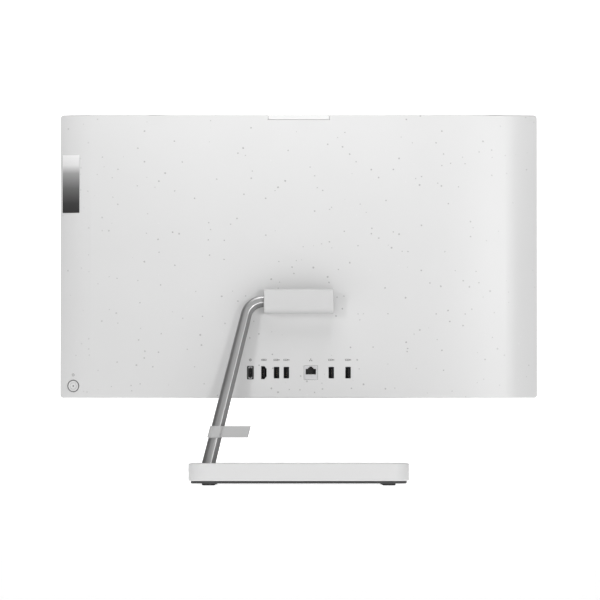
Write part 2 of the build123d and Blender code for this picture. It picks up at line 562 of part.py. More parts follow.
def hinge_cover():
    """White shell over the hinge, with a round opening for the arm's stub."""
    top, bottom = PIVOT_Z + HINGE_H / 2 + 0.35, PIVOT_Z - HINGE_H / 2 + 0.35
    x, y = (-HINGE_HALF_W, HINGE_HALF_W), (REAR_Y + 0.05, REAR_Y + HINGE_D)
    shell = block(x, y, (bottom, top))
    rear_edges = shell.edges().filter_by(Axis.X).sort_by(Axis.Y)[-2:].sort_by(Axis.Z)
    shell = fillet(rear_edges[0], 8.0)
    top_edge = [e for e in shell.edges().filter_by(Axis.X) if e.center().Z > top - 0.1
                and e.center().Y > y[1] - 0.1]
    shell = fillet(top_edge, 2.6)
    ends = [e for e in shell.edges() if abs(abs(e.center().X) - HINGE_HALF_W) < 0.01
            and e.center().Y > REAR_Y + 0.5]
    shell = fillet(ends, 0.8)
    inner = block((x[0] + WALL, x[1] - WALL), (y[0] - 1, y[1] - WALL), (bottom + WALL, top - WALL))
    low_edge = inner.edges().filter_by(Axis.X).sort_by(Axis.Y)[-2:].sort_by(Axis.Z)[0]
    shell -= fillet(low_edge, 6.0)
    shell -= rod((HINGE_HALF_W - 4, PIVOT_Y, PIVOT_Z), (HINGE_HALF_W + 2, PIVOT_Y, PIVOT_Z), STUB_R + 0.4)
    save("hinge_cover", shell)


def hinge_shaft():
    """Shaft, disc springs and lock nut; they stay with the arm."""
    save("hinge_shaft", rod((-36, PIVOT_Y, PIVOT_Z), (36, PIVOT_Y, PIVOT_Z), SHAFT_R))
    washers = []
    for n in range(7):
        x = -24.7 + 2.0 * n
        ring = rod((x, PIVOT_Y, PIVOT_Z), (x + 1.6, PIVOT_Y, PIVOT_Z), 8.0)
        washers.append(ring - rod((x - 1, PIVOT_Y, PIVOT_Z), (x + 3, PIVOT_Y, PIVOT_Z), SHAFT_R + 0.05))
    save("friction_washers", *washers)
    plane = Plane(origin=(-35.5, PIVOT_Y, PIVOT_Z), z_dir=(1, 0, 0))
    nut = extrude(plane * RegularPolygon(6.6, 6), amount=5.2)
    nut -= rod((-36, PIVOT_Y, PIVOT_Z), (-30, PIVOT_Y, PIVOT_Z), SHAFT_R + 0.03)
    save("lock_nut", nut)


# ---------------------------------------------------------------- arm and cable clip
ARM_DROP = math.hypot(ARM_LEAN, PIVOT_Z - BASE_TOP)           # pivot to base top, in the arm's plane
ARM_TILT = math.degrees(math.atan(ARM_LEAN / (PIVOT_Z - BASE_TOP)))
ARM_CORNER_X = 55.5                                          # where the leg's line meets the stub's
ARM_ROOM = ((0, 200), (-50, 150))                            # X and Y that hold all of the arm
ARM_FOOT_Z = 13.8                                            # the leg runs on down to its foot plate
LEG_SPREAD = (ARM_X - ARM_CORNER_X) / ARM_DROP
LEG_DOWN = Vector(LEG_SPREAD, 0, -1).normalized()
LEAN = Pos(0, PIVOT_Y, PIVOT_Z) * Rot(ARM_TILT, 0, 0) * Pos(0, -PIVOT_Y, -PIVOT_Z)


def bar_section(plane, width, grow=0.0):
    """The arm's section: x points out of the bend, y to the rear, and one rear corner is planed off."""
    half_w, half_d, facet = width / 2 + grow, ARM_DEPTH / 2 + grow, ARM_FACET + 0.6 * grow
    outline = Polyline((half_w, -half_d), (half_w, half_d), (-half_w + facet, half_d),
                       (-half_w, half_d - facet), (-half_w, -half_d), close=True)
    face = make_face(outline)
    square = [v for v in face.vertices() if abs(v.X) > half_w - 0.01 and abs(v.Y) > half_d - 0.01]
    return plane * fillet(square, ARM_ROUND + grow)


def leg_plane(height):
    """The plane square to the leg, before it leans, whose origin ends up at a height over the desk."""
    rise = (height - PIVOT_Z) / math.cos(math.radians(ARM_TILT))
    origin = (ARM_CORNER_X - LEG_SPREAD * rise, PIVOT_Y, PIVOT_Z + rise)
    return Plane(origin=origin, x_dir=(-LEG_DOWN.Z, 0, LEG_DOWN.X), z_dir=-LEG_DOWN)


def leg_width(height):
    """The leg widens evenly from the bend to the base."""
    return ARM_FOOT_W - (ARM_FOOT_W - ARM_TOP_W) * (height - BASE_TOP) / (PIVOT_Z - BASE_TOP)


def leg_bar(low, high, grow=0.0):
    """A stretch of the leg before it leans, grown all round."""
    ends = [bar_section(leg_plane(height), leg_width(height), grow) for height in (low, high)]
    return loft(ends)


def arm_solid():
    """The arm in an upright plane through the pivot, then leaned back about the tilt shaft."""
    corner = Vector(ARM_CORNER_X, PIVOT_Y, PIVOT_Z)
    turn = math.acos(LEG_DOWN.X)
    reach = ARM_BEND_R * math.tan(turn / 2)
    bend_start, bend_end = corner - Vector(reach, 0, 0), corner + LEG_DOWN * reach
    centre = bend_start - Vector(0, 0, ARM_BEND_R)
    half_way = Vector(math.sin(turn / 2), 0, math.cos(turn / 2)) * ARM_BEND_R + centre
    bend_z = PIVOT_Z + (bend_end.Z - PIVOT_Z) * math.cos(math.radians(ARM_TILT))
    stub_plane = Plane(origin=bend_start, x_dir=(0, 0, 1), z_dir=(-1, 0, 0))
    top_section = bar_section(stub_plane, leg_width(bend_z))
    bar = sweep(top_section, ThreePointArc(bend_start, half_way, bend_end))
    bar += leg_bar(ARM_FOOT_Z - 6, bend_z)
    bar = LEAN * bar
    bar &= block(*ARM_ROOM, (ARM_FOOT_Z, HOUSING_TOP))
    stub = rod((18.0, PIVOT_Y, PIVOT_Z), (bend_start.X + 0.6, PIVOT_Y, PIVOT_Z), STUB_R)
    stub -= rod((17.0, PIVOT_Y, PIVOT_Z), (36.05, PIVOT_Y, PIVOT_Z), SHAFT_R + 0.03)
    return bar + stub


CLIP_Z = (53.5, 66.5)                  # height of the clip's lower and upper ends over the desk
FOOT_SCREW_Y = 3.4                     # the arm's two screws lie this far either side of its middle


def cable_clip():
    """Plastic clip round the arm with an open loop beside it that holds the cables."""
    wall, reach, depth, spare = 1.2, 27.0, 12.0, 12.0
    low, high = CLIP_Z[0] - spare, CLIP_Z[1] + spare
    ring = leg_bar(low, high, 0.2 + wall)
    left = -leg_width(CLIP_Z[0]) / 2 - 0.2 - wall
    rear = ARM_DEPTH / 2 + 0.2 + wall
    plane = leg_plane(CLIP_Z[0]).offset(-spare)
    mid_x, mid_y = left - reach / 2 + 1.5, rear - depth / 2
    loop = plane * Pos(mid_x, mid_y) * RectangleRounded(reach + 3, depth, 2.4)
    gap = plane * Pos(mid_x, mid_y) * RectangleRounded(reach + 3 - 2 * wall, depth - 2 * wall, 1.2)
    slit = plane * Pos(left - reach + 6.5, rear - depth) * Rectangle(3.2, 5)
    tall = 3 * spare
    clip = ring + extrude(loop, amount=tall)
    clip -= extrude(gap, amount=tall) - ring
    clip -= extrude(slit, amount=tall)
    clip -= leg_bar(low - 2, high + 2, 0.2)
    return (LEAN * clip) & block(*ARM_ROOM, CLIP_Z)


def arm_and_clip():
    """Arm, its foot plate with two screws, and the cable clip."""
    arm = arm_solid()
    foot_y = PIVOT_Y + ARM_LEAN + 2.0
    foot_x = ARM_X + 2.6
    for dy in (-FOOT_SCREW_Y, FOOT_SCREW_Y):
        arm -= rod((foot_x, foot_y + dy, 10), (foot_x, foot_y + dy, 21.1), 1.55)
    save("arm", arm)
    save("cable_clip", cable_clip())
    plate = slab_xy(36, 50, 4, (10.6, ARM_FOOT_Z - 0.02), 99.5, 54)
    screws = []
    for dy in (-FOOT_SCREW_Y, FOOT_SCREW_Y):
        plate -= rod((foot_x, foot_y + dy, 10), (foot_x, foot_y + dy, 15), 1.7)
        plate -= rod((foot_x, foot_y + dy, 10), (foot_x, foot_y + dy, 12.2), 3.2)
        head = rod((foot_x, foot_y + dy, 10.7), (foot_x, foot_y + dy, 12.1), 3.0)
        screws.append(head + rod((foot_x, foot_y + dy, 12.0), (foot_x, foot_y + dy, 20.9), 1.5))
    plate -= rod(STAND_SCREW + (10,), STAND_SCREW + (15,), 2.6)
    save("arm_foot_plate", plate)
    save("arm_foot_screws", *screws)


# ---------------------------------------------------------------- base
STAND_SCREW = (88.0, 54.0)
FEET = [(x, y) for x in (-100.6, 100.6) for y in (-77.0, 77.0)]
BASE_SCREWS = [(x, y) for x in (-60, 60) for y in (-74, 74)]
WEIGHT_Z = (SKIRT_TOP + 0.1, 10.4)


def base_cover():
    """White shell of the base, open underneath, with the slot that the arm drops into."""
    shell = slab_xy(BASE_W, BASE_D, BASE_CORNER, (SKIRT_TOP, BASE_TOP))
    shell = fillet([e for e in shell.edges() if e.center().Z > BASE_TOP - 0.01], 1.3)
    shell = chamfer([e for e in shell.edges() if e.center().Z < SKIRT_TOP + 0.01], 0.7)
    shell -= slab_xy(BASE_W - 2 * BASE_WALL, BASE_D - 2 * BASE_WALL, BASE_CORNER - BASE_WALL,
                     (SKIRT_TOP - 1, BASE_TOP - BASE_WALL))
    shell -= LEAN * leg_bar(BASE_TOP - 14, BASE_TOP + 12, 0.5)
    for x, y in BASE_SCREWS:
        shell += rod((x, y, 12.0), (x, y, BASE_TOP - 1), 3.6) - rod((x, y, 11), (x, y, 20), 1.35)
    save("base_cover", shell)


def base_inside():
    """Weight, bottom plate, screws and rubber feet."""
    weight = slab_xy(224, 164, 10, WEIGHT_Z)
    bottom = slab_xy(BASE_W - 2 * SKIRT_INSET, BASE_D - 2 * SKIRT_INSET, BASE_CORNER - SKIRT_INSET,
                     (FOOT_H, SKIRT_TOP))
    bottom = fillet([e for e in bottom.edges() if e.center().Z < FOOT_H + 0.01], 1.0)
    screws, feet = [], []
    for x, y in BASE_SCREWS:
        weight -= rod((x, y, 5), (x, y, 12), 2.4)
        bottom -= rod((x, y, 2), (x, y, 6), 1.8) + rod((x, y, 2), (x, y, FOOT_H + 1.2), 3.1)
        shank = rod((x, y, 3.2), (x, y, 19.5), 1.3)
        head = rod((x, y, FOOT_H + 0.1), (x, y, FOOT_H + 1.18), 2.9)
        screws.append(shank + head - cross_recess(x, y, FOOT_H + 0.1, 3.2, 0.9))
    for x, y in FEET:
        bottom -= rod((x, y, 2), (x, y, FOOT_H + 0.8), 7.6)
        pad = rod((x, y, 0), (x, y, FOOT_H + 0.78), 7.5)
        feet.append(fillet(pad.edges().sort_by(Axis.Z)[:1], 1.2))
    weight -= rod(STAND_SCREW + (5,), STAND_SCREW + (12,), 3.4)
    bottom -= rod(STAND_SCREW + (2,), STAND_SCREW + (6,), 3.2)
    bottom -= rod(STAND_SCREW + (2,), STAND_SCREW + (4.4,), 9.4)
    save("base_weight", weight)
    save("base_bottom_plate", bottom)
    save("base_screws", *screws)
    save("base_feet", *feet)
    head = rod(STAND_SCREW + (2.5,), STAND_SCREW + (4.35,), 9.0)
    head = fillet(head.edges().sort_by(Axis.Z)[:1], 0.4)
    x, y = STAND_SCREW
    head -= block((x - 6, x + 6), (y - 0.8, y + 0.8), (2, 3.5))
    save("stand_screw", head + rod((x, y, 4.3), (x, y, 13.2), 2.5))


rear_cover()
badge()
camera_rear_cover()
front_frame()
chin_panel()
screen_bezel()
screen_and_backlight()
camera()
usb_sockets()
hdmi_socket()
power_inlet()
ethernet_port()
audio_jack()
power_button()
chassis()
motherboard()
cooling()
blower()
storage_and_memory()
speakers()
display_cable()
hinge_bracket()
hinge_cover()
hinge_shaft()
arm_and_clip()
base_cover()
base_inside()
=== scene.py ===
# %% [markdown]
# # An all-in-one computer, finished in Blender
# The frame holds every part at its real size: a display housing with the computer inside, a bent arm and
# a weighted base. This lesson gives each part its finish, remodels the arm so that its brushing follows
# the bend, and adds the small things that make it real: contacts, printed marks, spring clips, a lens.
# Everything is in metres, with Z up. The screen faces -Y and the sockets face +Y.

# %% Load the frame
import json
import math

import bmesh
import bpy
from mathutils import Matrix, Vector


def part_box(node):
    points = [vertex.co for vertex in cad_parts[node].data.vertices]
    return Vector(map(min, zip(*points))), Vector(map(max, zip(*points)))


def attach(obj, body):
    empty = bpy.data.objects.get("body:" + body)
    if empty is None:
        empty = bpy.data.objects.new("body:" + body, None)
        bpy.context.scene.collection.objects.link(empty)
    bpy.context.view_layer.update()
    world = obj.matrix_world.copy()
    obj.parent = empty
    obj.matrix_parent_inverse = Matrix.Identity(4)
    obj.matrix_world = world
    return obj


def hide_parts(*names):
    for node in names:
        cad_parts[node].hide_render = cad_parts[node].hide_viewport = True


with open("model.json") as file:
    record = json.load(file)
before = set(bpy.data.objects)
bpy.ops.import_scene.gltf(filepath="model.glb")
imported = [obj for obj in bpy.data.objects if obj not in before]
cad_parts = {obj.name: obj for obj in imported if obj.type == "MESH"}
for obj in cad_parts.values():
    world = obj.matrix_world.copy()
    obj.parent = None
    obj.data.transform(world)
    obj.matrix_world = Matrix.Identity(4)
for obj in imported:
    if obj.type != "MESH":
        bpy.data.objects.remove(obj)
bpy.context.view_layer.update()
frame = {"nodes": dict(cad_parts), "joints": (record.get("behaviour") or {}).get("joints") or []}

MM = 0.001
joints = {joint["name"]: joint for joint in frame["joints"]}
pivot = Vector(joints["display_tilt"]["pos_m"])

# %% [markdown]
# ## A workbench of small helpers
# Modelling by hand is a chain of the same few moves: add a primitive, pick some faces, edges or points by
# where they are, shape them, and at the end press the object's place into its mesh. Each move gets a short
# function, so that the pieces below read like instructions.

# %% Add, pick and settle


def corners(node):
    """Lowest and highest corner of a part, as vectors."""
    low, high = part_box(node)
    return Vector(low), Vector(high)


def add(operator, name, **settings):
    """Add a primitive with nothing else selected, name it and leave it in edit mode, unselected."""
    bpy.ops.object.select_all(action="DESELECT")
    operator(**settings)
    piece = bpy.context.object
    piece.name = piece.data.name = name
    bpy.ops.object.mode_set(mode="EDIT")
    bpy.ops.mesh.select_all(action="DESELECT")
    return piece


def pick(kind, test):
    """Select the points, edges or faces of the piece in edit mode whose middle passes a test."""
    piece = bpy.context.object
    bpy.ops.mesh.select_mode(type=kind)
    bpy.ops.mesh.select_all(action="DESELECT")
    mesh = bmesh.from_edit_mesh(piece.data)
    chosen = 0
    for item in {"VERT": mesh.verts, "EDGE": mesh.edges, "FACE": mesh.faces}[kind]:
        points = [item.co] if kind == "VERT" else [vertex.co for vertex in item.verts]
        middle = sum(points, Vector()) / len(points)
        if test(middle, item):
            item.select_set(True)
            chosen += 1
    mesh.select_flush_mode()
    bmesh.update_edit_mesh(piece.data)
    return chosen


def settle(piece, place=Matrix(), smooth=35):
    """Leave edit mode, merge doubles, turn faces outwards, and press the piece's place into its mesh."""
    bpy.ops.mesh.select_all(action="SELECT")
    bpy.ops.mesh.remove_doubles(threshold=1e-7)
    bpy.ops.mesh.normals_make_consistent(inside=False)
    bpy.ops.object.mode_set(mode="OBJECT")
    piece.matrix_world = place @ piece.matrix_world
    bpy.ops.object.select_all(action="DESELECT")
    piece.select_set(True)
    bpy.context.view_layer.objects.active = piece
    bpy.ops.object.transform_apply(location=True, rotation=True, scale=True)
    bpy.ops.object.shade_smooth_by_angle(angle=math.radians(smooth))
    return piece


def copy_of(piece, name, place):
    """A copy with its own mesh, moved by a matrix that is pressed into the mesh."""
    twin = piece.copy()
    twin.data = piece.data.copy()
    twin.name = twin.data.name = name
    twin.data.transform(place)
    bpy.context.collection.objects.link(twin)
    return twin


def join(pieces, name):
    """Join several pieces into one."""
    bpy.ops.object.select_all(action="DESELECT")
    for piece in pieces:
        piece.select_set(True)
    bpy.context.view_layer.objects.active = pieces[0]
    bpy.ops.object.join()
    whole = bpy.context.object
    whole.name = whole.data.name = name
    return whole


def place_piece(piece, body, finish=None):
    """Fasten a piece to a body and give it its finish."""
    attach(piece, body)
    if finish is not None:
        piece.data.materials.clear()
        piece.data.materials.append(finish)
    return piece


print("workbench ready")

# %% [markdown]
# ## Shader maths as plain expressions
# A finish is worked out from coordinates and noise. Node by node that is hard to read, so one small class
# wraps a node's output and overloads the operators: `1 - mask` adds the Math node that does it. Every other
# node comes from `Finish.node`, which takes the node's type, its settings and what goes into its sockets.

# %% Wire and Finish


class Wire:
    """One output of a node. Arithmetic on it adds Math nodes."""

    def __init__(self, finish, socket):
        self.finish = finish
        self.socket = socket

    def maths(self, operation, first, second=0.0):
        return self.finish.node("ShaderNodeMath", {"operation": operation}, {0: first, 1: second})

    def __add__(self, other):
        return self.maths("ADD", self, other)

    def __radd__(self, other):
        return self.maths("ADD", other, self)

    def __sub__(self, other):
        return self.maths("SUBTRACT", self, other)

    def __rsub__(self, other):
        return self.maths("SUBTRACT", other, self)

    def __mul__(self, other):
        return self.maths("MULTIPLY", self, other)

    def __rmul__(self, other):
        return self.maths("MULTIPLY", other, self)

    def __truediv__(self, other):
        return self.maths("DIVIDE", self, other)

    def __lt__(self, other):
        return self.maths("LESS_THAN", self, other)

    def __gt__(self, other):
        return self.maths("GREATER_THAN", self, other)

    def absolute(self):
        return self.maths("ABSOLUTE", self)

    def at_most(self, other):
        return self.maths("MINIMUM", self, other)

    def at_least(self, other):
        return self.maths("MAXIMUM", self, other)


class Finish:
    """A material: one surface shader, constants set on its sockets, and wires for what varies."""

    def __init__(self, name, **constants):
        self.material = bpy.data.materials.new(name)
        self.material.use_nodes = True
        self.tree = self.material.node_tree
        self.tree.nodes.clear()
        self.shader = self.tree.nodes.new("ShaderNodeBsdfPrincipled")
        output = self.tree.nodes.new("ShaderNodeOutputMaterial")
        self.tree.links.new(self.shader.outputs[0], output.inputs[0])
        for name, value in constants.items():
            self.shader.inputs[name.replace("_", " ")].default_value = value

    def node(self, kind, settings=None, inputs=None, output=0):
        node = self.tree.nodes.new(kind)
        for name, value in (settings or {}).items():
            if name == "stops":
                self.set_stops(node, value)
            else:
                setattr(node, name, value)
        for name, value in (inputs or {}).items():
            if isinstance(value, Wire):
                self.tree.links.new(value.socket, node.inputs[name])
            else:
                node.inputs[name].default_value = value
        return Wire(self, node.outputs[output])

    def set_stops(self, node, stops):
        ramp = node.color_ramp
        while len(ramp.elements) < len(stops):
            ramp.elements.new(1.0)
        for element, (position, grey) in zip(ramp.elements, stops):
            element.position = position
            element.color = (*grey, 1.0) if isinstance(grey, tuple) else (grey, grey, grey, 1.0)

    def feed(self, **wires):
        for name, wire in wires.items():
            self.tree.links.new(wire.socket, self.shader.inputs[name.replace("_", " ")])
        return self.material

    def place(self, turn=(0, 0, 0), scale=(1, 1, 1), attribute=None):
        """Coordinates in metres, from the object or from a named attribute, turned and scaled."""
        if attribute:
            where = self.node("ShaderNodeAttribute", {"attribute_name": attribute}, output="Vector")
        else:
            where = self.node("ShaderNodeTexCoord", output="Object")
        return self.node("ShaderNodeMapping", inputs={"Vector": where, "Rotation": turn, "Scale": scale})

    def noise(self, where, per_metre, detail=3.0, roughness=0.55):
        inputs = {"Vector": where, "Scale": per_metre, "Detail": detail, "Roughness": roughness}
        return self.node("ShaderNodeTexNoise", inputs=inputs)

    def mix(self, share, first, second):
        """A colour between two colours."""
        inputs = {0: share, 6: colour(first), 7: colour(second)}
        return self.node("ShaderNodeMix", {"data_type": "RGBA"}, inputs, output=2)

    def bump(self, height, depth, strength=1.0):
        inputs = {"Height": height, "Distance": depth, "Strength": strength}
        return self.node("ShaderNodeBump", inputs=inputs)


def colour(value):
    """A grey number or a triple as a colour that a socket takes; a wire stays as it is."""
    if isinstance(value, Wire):
        return value
    return (value, value, value, 1.0) if isinstance(value, (int, float)) else (*value, 1.0)


print("shader tools ready")

# %% [markdown]
# ## Moulded plastics
# The white shells are painted or moulded plastic with a fine spark-eroded grain. The rear cover's plastic
# also holds sparse flecks, like the recycled material it imitates: most a little darker, some lighter. A 3D
# Voronoi pattern gives one random point per cell, and a fleck is where the surface passes close to one.

# %% Plastics


def moulded(name, tone, rough=0.42, grain=900, depth=0.00002, **constants):
    """Plain moulded plastic: tone and roughness drift a little, with a fine grain."""
    finish = Finish(name, **constants)
    where = finish.place()
    drift = finish.noise(where, 9, 2.0)
    fine = finish.noise(where, grain, 2.0)
    shade = tuple(channel * 0.94 for channel in colour(tone)[:3])
    base = finish.mix(drift, shade, colour(tone)[:3])
    return finish.feed(Base_Color=base, Roughness=rough - 0.06 + 0.12 * fine,
                       Normal=finish.bump(fine, depth, 0.35))


def flecked_plastic():
    """The rear cover: white with sparse grey flecks of uneven size."""
    finish = Finish("flecked_white_plastic")
    where = finish.place()
    wobble = finish.noise(where, 700, 1.0)
    sway = finish.node("ShaderNodeCombineXYZ", inputs={"X": wobble, "Y": wobble, "Z": wobble})
    bent = finish.node("ShaderNodeVectorMath", {"operation": "MULTIPLY_ADD"},
                       {0: sway, 1: (0.0008, 0.0008, 0.0008), 2: where})
    cells = {"Vector": bent, "Scale": 125, "Randomness": 1.0}
    distance = finish.node("ShaderNodeTexVoronoi", inputs=cells, output="Distance")
    chance = finish.node("ShaderNodeTexVoronoi", inputs=cells, output="Color")
    split = finish.node("ShaderNodeSeparateColor", inputs={"Color": chance})
    size, kind = split, Wire(finish, split.socket.node.outputs[1])
    radius = 0.05 + 0.09 * size
    fleck = (distance < radius) * (size > 0.35)
    light = fleck * (kind > 0.86)
    strength = 0.15 + 0.6 * kind
    drift = finish.noise(where, 6, 2.0)
    fine = finish.noise(where, 1100, 2.0)
    plain = finish.mix(drift, 0.565, 0.60)
    dark = finish.mix(fleck * strength, plain, 0.24)
    base = finish.mix(light * 0.7, dark, 0.72)
    return finish.feed(Base_Color=base, Roughness=0.27 + 0.1 * fine,
                       Normal=finish.bump(fine, 0.00002, 0.3))


white_flecked = flecked_plastic()
white_plain = moulded("white_plastic", 0.66)
white_hinge = moulded("hinge_cover_plastic", 0.53, rough=0.5)
white_base = moulded("base_white_plastic", 0.62)
grey_clip = moulded("clip_grey_plastic", 0.46, rough=0.3)
button_white = moulded("button_white_plastic", 0.60, rough=0.38)
black_skirt = moulded("skirt_black_plastic", 0.035, rough=0.55, grain=1400, depth=0.00004)
black_part = moulded("moulded_black_part", 0.02, rough=0.48, grain=1200)
black_gloss = moulded("glossy_black_plastic", 0.012, rough=0.14, grain=500, depth=0.000004, Coat_Weight=0.4)
inlet_dark = moulded("inlet_dark_plastic", 0.035, rough=0.4)
tray_white = moulded("tray_white_plastic", 0.5, rough=0.5)
cable_grey = moulded("flat_cable_grey", (0.42, 0.43, 0.45), rough=0.4, grain=1500)
print("plastics:", white_flecked.name, white_plain.name, white_hinge.name, white_base.name)

# %% [markdown]
# ## Metals
# The arm is extruded aluminium, brushed along its length. Brushing is noise that is stretched a
# hundredfold one way, so it needs coordinates that run along the arm. The arm's own mesh carries them in an
# attribute called `grain`, and the sheet parts use plain object coordinates.

# %% Brushed, plated and polished metals


def brushed(name, tone, streak, rough=0.3, contrast=0.16):
    """Brushed metal: long streaks in tone, roughness and height."""
    finish = Finish(name, Metallic=1.0)
    lines = finish.noise(finish.place(scale=streak), 1.0, 4.0, 0.65)
    broad = finish.noise(finish.place(scale=(streak[0] / 9, streak[1] / 9, streak[2] / 2)), 1.0)
    share = 0.65 * lines + 0.35 * broad
    low = tuple(channel * (1 - contrast) for channel in colour(tone)[:3])
    high = tuple(min(1.0, channel * (1 + contrast)) for channel in colour(tone)[:3])
    return finish.feed(Base_Color=finish.mix(share, low, high), Roughness=rough + 0.22 * lines,
                       Normal=finish.bump(lines, 0.00002, 0.5))


def plated(name, tone, rough=0.32, grain=260, contrast=0.1):
    """Plated sheet metal or a turned screw: cloudy tone and a soft uneven gloss."""
    finish = Finish(name, Metallic=1.0)
    where = finish.place()
    cloud = finish.noise(where, grain, 4.0)
    fine = finish.noise(where, grain * 9, 2.0)
    low = tuple(channel * (1 - contrast) for channel in colour(tone)[:3])
    return finish.feed(Base_Color=finish.mix(cloud, low, tone), Roughness=rough - 0.08 + 0.2 * cloud,
                       Normal=finish.bump(fine, 0.00001, 0.3))


def badge_metal():
    """The name plate: polished metal with a painted reflection, white at its top and nearly black at its
    foot.
    """
    low, high = corners("badge")
    finish = Finish("badge_polished_metal")
    where = finish.place()
    height = finish.node("ShaderNodeSeparateXYZ", inputs={"Vector": where}, output="Z")
    share = (height - low.z) / (high.z - low.z)
    # The ramp up the plate's height is a painted reflection: light above, dark below.
    stops = [(0.0, 0.06), (0.16, 0.075), (0.42, 0.19), (0.68, 0.42), (0.82, 0.85), (1.0, 0.95)]
    tone = finish.node("ShaderNodeValToRGB", {"stops": stops}, {"Fac": share})
    hair = finish.noise(finish.place(scale=(60, 60, 2600)), 1.0, 3.0)
    base = finish.node("ShaderNodeMix", {"data_type": "RGBA", "blend_type": "MULTIPLY"},
                       {0: 0.18, 6: tone, 7: finish.mix(hair, 0.6, 1.0)}, output=2)
    return finish.feed(Base_Color=base, Metallic=0.75 - 0.45 * share, Roughness=0.26 + 0.1 * hair)


ARM_HALF_W, ARM_HALF_D, FACET = 6.2 * MM, 6.0 * MM, 3.8 * MM


def arm_finish():
    """Brushed aluminium, with painted shade towards the rounded outer edge and over the facet, and a painted
    highlight line along the facet's edge.
    """
    finish = Finish("arm_brushed_aluminium", Metallic=1.0)
    lines = finish.noise(finish.place(scale=(1500, 1500, 12), attribute="grain"), 1.0, 4.0, 0.7)
    broad = finish.noise(finish.place(scale=(260, 260, 5), attribute="grain"), 1.0, 2.0)
    where = finish.place(attribute="grain")
    across = finish.node("ShaderNodeSeparateXYZ", inputs={"Vector": where}, output="X")
    deep = Wire(finish, across.socket.node.outputs["Y"])
    # Painted highlight: a bright line along the edge between the rear face and the facet.
    apart = (across + ARM_HALF_W - FACET).absolute() + (deep - ARM_HALF_D).absolute()
    painted_highlight_line = (1 - apart / (0.75 * MM)).at_least(0)
    # Painted shade: darker towards the rounded outer edge.
    shade = ((across - 0.25 * ARM_HALF_W) / ARM_HALF_W).at_least(0).at_most(1)
    streaks = finish.mix(0.6 * lines + 0.4 * broad, 0.30, 0.80)
    # Painted shade: the facet's side darker still.
    painted_facet_shade = ((FACET - ARM_HALF_W - across) / (0.5 * MM)).at_least(0).at_most(1)
    body = finish.mix(painted_facet_shade * 0.75, finish.mix(shade * 0.5, streaks, 0.16), 0.10)
    base = finish.mix(painted_highlight_line, body, 0.92)
    return finish.feed(Base_Color=base, Roughness=0.30 + 0.2 * lines - 0.12 * painted_highlight_line,
                       Normal=finish.bump(lines, 0.00002, 0.5))


arm_metal = arm_finish()
sheet_steel = plated("zinc_plated_steel", (0.52, 0.53, 0.55))
screw_steel = plated("screw_steel", (0.46, 0.46, 0.48), rough=0.28, grain=900)
socket_steel = plated("nickel_socket", (0.62, 0.62, 0.63), rough=0.3, grain=500)
# The data and video sockets' shells are nearly black: painted shade that stands for the dark inside of their
# openings.
socket_painted_dark = plated("socket_metal_painted_dark", (0.03, 0.03, 0.032), rough=0.4, grain=500)
ring_metal = brushed("button_ring_metal", 0.2, streak=(900, 900, 900), rough=0.28, contrast=0.08)
copper = plated("copper", (0.72, 0.38, 0.24), rough=0.34, grain=350, contrast=0.2)
fin_metal = brushed("fin_aluminium", 0.62, streak=(40, 1500, 1500), rough=0.35, contrast=0.1)
cell_steel = plated("cell_steel", (0.62, 0.62, 0.6), rough=0.3, grain=200)
gold = plated("contact_gold", (0.78, 0.56, 0.2), rough=0.25, grain=1200)
badge_finish = badge_metal()
print("metals:", arm_metal.name, sheet_steel.name, badge_finish.name)

# %% [markdown]
# ## Glass, rubber, circuit board and ink
# The screen's front film is etched so that it doesn't mirror the room: nearly black, a little rough, with a
# very fine sparkle. Rubber is matte and dusty. A circuit board is green lacquer over copper tracks, which a
# brick pattern suggests at the right scale.

# %% The remaining finishes


def screen_film():
    """The switched-off picture area with its thin black border, under an etched film."""
    low, high = corners("lcd_screen")
    middle, half = (low + high) / 2, (high - low) / 2
    finish = Finish("etched_screen_film", IOR=1.5, Specular_IOR_Level=0.5)
    where = finish.place()
    parts = finish.node("ShaderNodeSeparateXYZ", inputs={"Vector": where}, output="X")
    across = (parts - middle.x).absolute()
    up = (Wire(finish, parts.socket.node.outputs["Z"]) - middle.z).absolute()
    inside = (across < half.x - 3.0 * MM) * (up < half.z - 1.6 * MM)
    sparkle = finish.noise(where, 2600, 2.0)
    picture = finish.mix(sparkle, (0.012, 0.013, 0.016), (0.02, 0.021, 0.025))
    base = finish.mix(inside, 0.006, picture)
    return finish.feed(Base_Color=base, Roughness=0.34 + 0.1 * sparkle,
                       Normal=finish.bump(sparkle, 0.000004, 0.4))


def rubber():
    finish = Finish("foot_rubber")
    where = finish.place()
    dust = finish.noise(where, 160, 4.0)
    fine = finish.noise(where, 2200, 2.0)
    return finish.feed(Base_Color=finish.mix(dust, 0.016, 0.04), Roughness=0.72 + 0.15 * fine,
                       Normal=finish.bump(fine, 0.00006, 0.5))


def circuit_board():
    """Green lacquer; copper tracks show through as slightly lighter, raised lines."""
    finish = Finish("circuit_board")
    where = finish.place(turn=(math.radians(90), 0, 0))
    tracks = {"Vector": where, "Color1": (0, 0, 0, 1), "Color2": (0, 0, 0, 1), "Mortar": (1, 1, 1, 1),
              "Scale": 160.0, "Mortar Size": 0.05, "Brick Width": 1.7, "Row Height": 0.33}
    line = finish.node("ShaderNodeTexBrick", inputs=tracks, output="Fac")
    cloud = finish.noise(where, 60, 3.0)
    lacquer = finish.mix(cloud, (0.008, 0.05, 0.028), (0.012, 0.075, 0.04))
    base = finish.mix(line * 0.7, lacquer, (0.03, 0.14, 0.07))
    return finish.feed(Base_Color=base, Roughness=0.3 + 0.15 * cloud, Normal=finish.bump(line, 0.00003, 0.5))


def ink(name, tone):
    finish = Finish(name)
    patch = finish.noise(finish.place(), 1800, 3.0)
    return finish.feed(Base_Color=finish.mix(patch, tone * 0.8, tone * 1.15), Roughness=0.5 + 0.2 * patch)


